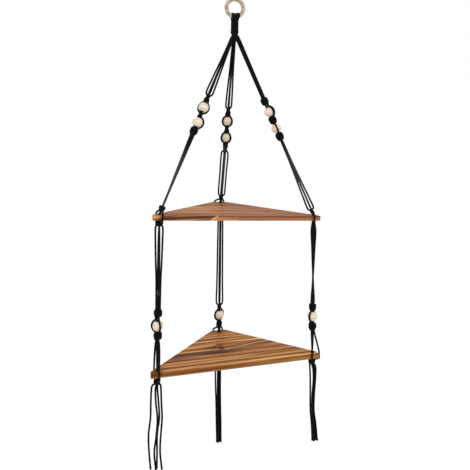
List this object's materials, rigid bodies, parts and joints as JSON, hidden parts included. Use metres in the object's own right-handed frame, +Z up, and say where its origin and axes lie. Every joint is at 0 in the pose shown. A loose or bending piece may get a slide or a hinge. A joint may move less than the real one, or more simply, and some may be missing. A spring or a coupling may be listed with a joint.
{
  "type": "hanging rope shelf",
  "caption": "Two-tier corner shelf: wooden boards with cut corners held one above the other by knotted, beaded cords that gather under a wooden hanging ring.",
  "frame": {"origin": "top of the hanging ring's eye, where the ring rests on a hook", "axes": "+Z up, X along the front edges of the boards with +X at the right, +Y towards the back corner"},
  "size_m": [0.4293, 0.2145, 1.1933],
  "materials": {
    "ring_wood": "turned pale wood, lightly sealed",
    "bead_wood": "turned pale wood, raw",
    "black_cord": "twisted black cotton cord",
    "stave_orange": "satin lacquer",
    "stave_amber": "satin lacquer",
    "stave_red_brown": "satin lacquer",
    "stave_tan": "satin lacquer",
    "stave_walnut": "satin lacquer"
  },
  "bodies": {
    "ring_body": {"hang_ring": "ring_wood"},
    "crown": {"crown_column": "black_cord"},
    "knot_body": {"crown_knot": "black_cord"},
    "upper_tier": {"upper_board_stave_1_left": "stave_red_brown", "upper_board_stave_1_right": "stave_orange", "upper_board_stave_2": "stave_tan", "upper_board_stave_3": "stave_amber", "upper_board_stave_4": "stave_walnut", "upper_board_stave_5": "stave_orange", "left_crown_cords": "black_cord", "left_bead_cords_1": "black_cord", "left_bead_cords_2": "black_cord", "left_leg_cords": "black_cord", "left_upper_grip": "black_cord", "right_crown_cords": "black_cord", "right_bead_cords_1": "black_cord", "right_bead_cords_2": "black_cord", "right_leg_cords": "black_cord", "right_upper_grip": "black_cord", "back_crown_cords": "black_cord", "back_bead_cords_1": "black_cord", "back_bead_cords_2": "black_cord", "back_leg_cords": "black_cord", "back_upper_grip": "black_cord"},
    "left_upper_bead": {"left_bead_1": "bead_wood"},
    "left_middle_bead": {"left_bead_2": "bead_wood"},
    "right_upper_bead": {"right_bead_1": "bead_wood"},
    "right_middle_bead": {"right_bead_2": "bead_wood"},
    "back_upper_bead": {"back_bead_1": "bead_wood"},
    "back_middle_bead": {"back_bead_2": "bead_wood"},
    "left_drop": {"left_drop_cords": "black_cord", "left_bead_cords_3": "black_cord"},
    "right_drop": {"right_drop_cords": "black_cord", "right_bead_cords_3": "black_cord"},
    "back_drop": {"back_drop_cords": "black_cord", "back_bead_cords_3": "black_cord"},
    "left_lower_bead": {"left_bead_3": "bead_wood"},
    "right_lower_bead": {"right_bead_3": "bead_wood"},
    "back_lower_bead": {"back_bead_3": "bead_wood"},
    "lower_tier": {"lower_board_stave_1": "stave_amber", "lower_board_stave_2": "stave_orange", "lower_board_stave_3_left": "stave_red_brown", "lower_board_stave_3_right": "stave_tan", "lower_board_stave_4": "stave_walnut", "lower_board_stave_5": "stave_amber", "left_lower_grip": "black_cord", "right_lower_grip": "black_cord", "back_lower_grip": "black_cord"},
    "left_tassel": {"left_tassel_1": "black_cord", "left_tassel_2": "black_cord", "left_tassel_3": "black_cord", "left_tassel_4": "black_cord"},
    "right_tassel": {"right_tassel_1": "black_cord", "right_tassel_2": "black_cord", "right_tassel_3": "black_cord", "right_tassel_4": "black_cord"},
    "back_tassel": {"back_tassel_1": "black_cord", "back_tassel_2": "black_cord", "back_tassel_3": "black_cord", "back_tassel_4": "black_cord"}
  },
  "joints": [
    {"name": "swing_out_from_wall", "type": "hinge", "parent": "ring_body", "child": "crown", "pos_m": [0, 0, -0.039], "axis": [1, 0, 0], "range_deg": [-20, 20]},
    {"name": "twist_on_crown", "type": "hinge", "parent": "crown", "child": "knot_body", "pos_m": [0, 0, -0.093], "axis": [0, 0, 1], "range_deg": [-40, 40], "stiffness_Nm_per_rad": 0.02},
    {"name": "sway_sideways", "type": "hinge", "parent": "knot_body", "child": "upper_tier", "pos_m": [0, 0, -0.093], "axis": [0, 1, 0], "range_deg": [-8, 8]},
    {"name": "left_upper_bead_spin", "type": "hinge", "parent": "upper_tier", "child": "left_upper_bead", "pos_m": [-0.08406, -0.0269, -0.27058], "axis": [-0.3983, -0.1275, -0.9084], "continuous": true},
    {"name": "left_middle_bead_spin", "type": "hinge", "parent": "upper_tier", "child": "left_middle_bead", "pos_m": [-0.09999, -0.032, -0.30692], "axis": [-0.3983, -0.1275, -0.9084], "continuous": true},
    {"name": "right_upper_bead_spin", "type": "hinge", "parent": "upper_tier", "child": "right_upper_bead", "pos_m": [0.08601, -0.0276, -0.27943], "axis": [0.3866, -0.1241, -0.9138], "continuous": true},
    {"name": "right_middle_bead_spin", "type": "hinge", "parent": "upper_tier", "child": "right_middle_bead", "pos_m": [0.10341, -0.03319, -0.32055], "axis": [0.3866, -0.1241, -0.9138], "continuous": true},
    {"name": "back_upper_bead_spin", "type": "hinge", "parent": "upper_tier", "child": "back_upper_bead", "pos_m": [0, 0.05855, -0.30432], "axis": [0, 0.2542, -0.9671], "continuous": true},
    {"name": "back_middle_bead_spin", "type": "hinge", "parent": "upper_tier", "child": "back_middle_bead", "pos_m": [0, 0.07011, -0.34833], "axis": [0, 0.2542, -0.9671], "continuous": true},
    {"name": "left_drop_sway", "type": "hinge", "parent": "upper_tier", "child": "left_drop", "pos_m": [-0.19417, -0.06214, -0.569], "axis": [0, 1, 0], "range_deg": [-6, 6]},
    {"name": "right_drop_sway", "type": "hinge", "parent": "upper_tier", "child": "right_drop", "pos_m": [0.19602, -0.0629, -0.569], "axis": [0, 1, 0], "range_deg": [-6, 6]},
    {"name": "back_drop_sway", "type": "hinge", "parent": "upper_tier", "child": "back_drop", "pos_m": [0, 0.118, -0.569], "axis": [0, 1, 0], "range_deg": [-6, 6]},
    {"name": "left_lower_bead_spin", "type": "hinge", "parent": "left_drop", "child": "left_lower_bead", "pos_m": [-0.1943, -0.06214, -0.78048], "axis": [0, 0, 1], "continuous": true},
    {"name": "right_lower_bead_spin", "type": "hinge", "parent": "right_drop", "child": "right_lower_bead", "pos_m": [0.19615, -0.0629, -0.7932], "axis": [0, 0, 1], "continuous": true},
    {"name": "back_lower_bead_spin", "type": "hinge", "parent": "back_drop", "child": "back_lower_bead", "pos_m": [0, 0.118, -0.8383], "axis": [0, 0, 1], "continuous": true},
    {"name": "lower_board_level", "type": "hinge", "parent": "left_drop", "child": "lower_tier", "pos_m": [-0.19436, -0.06214, -0.88235], "axis": [0, 1, 0], "range_deg": [-6, 6]},
    {"name": "left_tassel_swing", "type": "hinge", "parent": "lower_tier", "child": "left_tassel", "pos_m": [-0.19436, -0.06214, -0.9184], "axis": [0.9613, -0.2756, 0], "range_deg": [-10, 10]},
    {"name": "right_tassel_swing", "type": "hinge", "parent": "lower_tier", "child": "right_tassel", "pos_m": [0.19621, -0.0629, -0.9157], "axis": [0.9613, -0.2756, 0], "range_deg": [-10, 10]},
    {"name": "back_tassel_swing", "type": "hinge", "parent": "lower_tier", "child": "back_tassel", "pos_m": [0, 0.118, -0.9134], "axis": [0.9613, -0.2756, 0], "range_deg": [-10, 10]}
  ],
  "couplings": [
    {"joint": "right_drop_sway", "follows": "left_drop_sway", "ratio": 1},
    {"joint": "back_drop_sway", "follows": "left_drop_sway", "ratio": 1},
    {"joint": "lower_board_level", "follows": "left_drop_sway", "ratio": -1}
  ]
}
